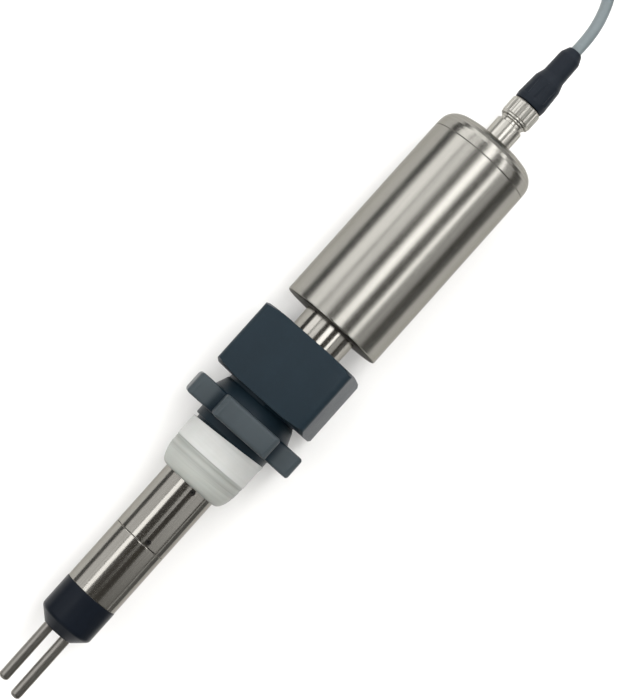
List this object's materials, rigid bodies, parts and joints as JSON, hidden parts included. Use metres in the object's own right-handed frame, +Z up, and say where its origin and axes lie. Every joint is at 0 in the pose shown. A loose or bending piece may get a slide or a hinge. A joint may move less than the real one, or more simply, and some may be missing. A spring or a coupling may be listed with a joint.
{
  "type": "corrosion probe",
  "caption": "Slim steel corrosion probe with bare rod electrodes, a transmitter housing, a pipe-thread fitting clamped by a square nut, and a plug-in lead wound in a coil.",
  "frame": {"origin": "on the probe's axis, at the shoulder of the fitting's pipe thread", "axes": "+X along the probe from the electrodes to the lead, +Z up when the probe lies on a bench, Y across it"},
  "size_m": [0.4854, 0.0795, 0.056],
  "materials": {
    "electrode_steel": "dull ground steel",
    "housing_steel": "fine turned finish",
    "tube_steel": "polished",
    "screw_steel": "plain",
    "nose_plastic": "smooth, near black",
    "fitting_plastic": "moulded, dark blue-grey",
    "thread_tape": "wound sealing tape",
    "seal_rubber": "matte",
    "collet_plastic": "moulded",
    "bulkhead_plastic": "moulded",
    "contact_gold": "gold flash",
    "board_green": "solder mask",
    "chip_black": "moulded",
    "terminal_green": "moulded",
    "wire_red": "insulation",
    "wire_yellow": "insulation",
    "bracket_metal": "sheet",
    "connector_metal": "nickel plated",
    "boot_rubber": "moulded, near black",
    "insert_plastic": "moulded",
    "cable_jacket": "blue-grey jacket",
    "tie_fabric": "hook and loop"
  },
  "bodies": {
    "probe": {"electrode_a": "electrode_steel", "electrode_b": "electrode_steel", "electrode_studs": "contact_gold", "electrode_seals": "seal_rubber", "nose_collar": "nose_plastic", "collar_seal": "seal_rubber", "front_sleeve": "tube_steel", "sleeve_joiner": "tube_steel", "rear_tube": "tube_steel", "set_screws": "screw_steel", "bulkhead": "bulkhead_plastic", "electrode_leads": "wire_red", "housing_shell": "housing_steel", "tube_lock_nut": "screw_steel", "end_cap": "housing_steel", "cap_seal": "seal_rubber", "board_bracket": "bracket_metal", "bracket_screws": "screw_steel", "circuit_board": "board_green", "board_chips": "chip_black", "board_screws": "screw_steel", "terminal_block": "terminal_green", "signal_wires": "wire_yellow", "receptacle_shell": "connector_metal", "receptacle_insert": "insert_plastic", "contact_pins": "contact_gold", "receptacle_seal": "seal_rubber", "receptacle_nut": "screw_steel", "plug_insert": "insert_plastic", "plug_body": "boot_rubber", "cable_lead": "cable_jacket", "cable_coil": "cable_jacket", "coil_tie": "tie_fabric", "cable_tail": "cable_jacket", "tail_plug_body": "boot_rubber", "tail_plug_insert": "insert_plastic", "tail_pins": "contact_gold"},
    "gland": {"tube_seals": "seal_rubber", "grip_collet": "collet_plastic"},
    "fitting": {"thread_fitting": "fitting_plastic", "thread_tape": "thread_tape"},
    "washer": {"thrust_washer": "screw_steel"},
    "nut": {"clamp_nut": "fitting_plastic"},
    "plug_ring": {"coupling_ring": "connector_metal"},
    "tail_ring_body": {"tail_ring": "connector_metal"}
  },
  "joints": [
    {"name": "fitting_slide", "type": "slide", "parent": "probe", "child": "gland", "axis": [1, 0, 0], "range_m": [-0.06, 0.004]},
    {"name": "fitting_turn", "type": "hinge", "parent": "gland", "child": "fitting", "pos_m": [0.02, 0, 0], "axis": [1, 0, 0], "continuous": true},
    {"name": "nut_travel", "type": "slide", "parent": "fitting", "child": "washer", "axis": [1, 0, 0], "range_m": [0, 0.00575]},
    {"name": "nut_turn", "type": "hinge", "parent": "washer", "child": "nut", "pos_m": [0.038, 0, 0], "axis": [1, 0, 0], "range_deg": [0, 1036]},
    {"name": "plug_ring_turn", "type": "hinge", "parent": "probe", "child": "plug_ring", "pos_m": [0.1856, 0, 0], "axis": [1, 0, 0], "continuous": true},
    {"name": "tail_ring_turn", "type": "hinge", "parent": "probe", "child": "tail_ring_body", "pos_m": [0.3391, -0.03594, -0.0038], "axis": [0.2588, -0.9659, 0], "continuous": true}
  ],
  "couplings": [
    {"joint": "nut_turn", "follows": "nut_travel", "rad_per_m": 3141.6}
  ]
}
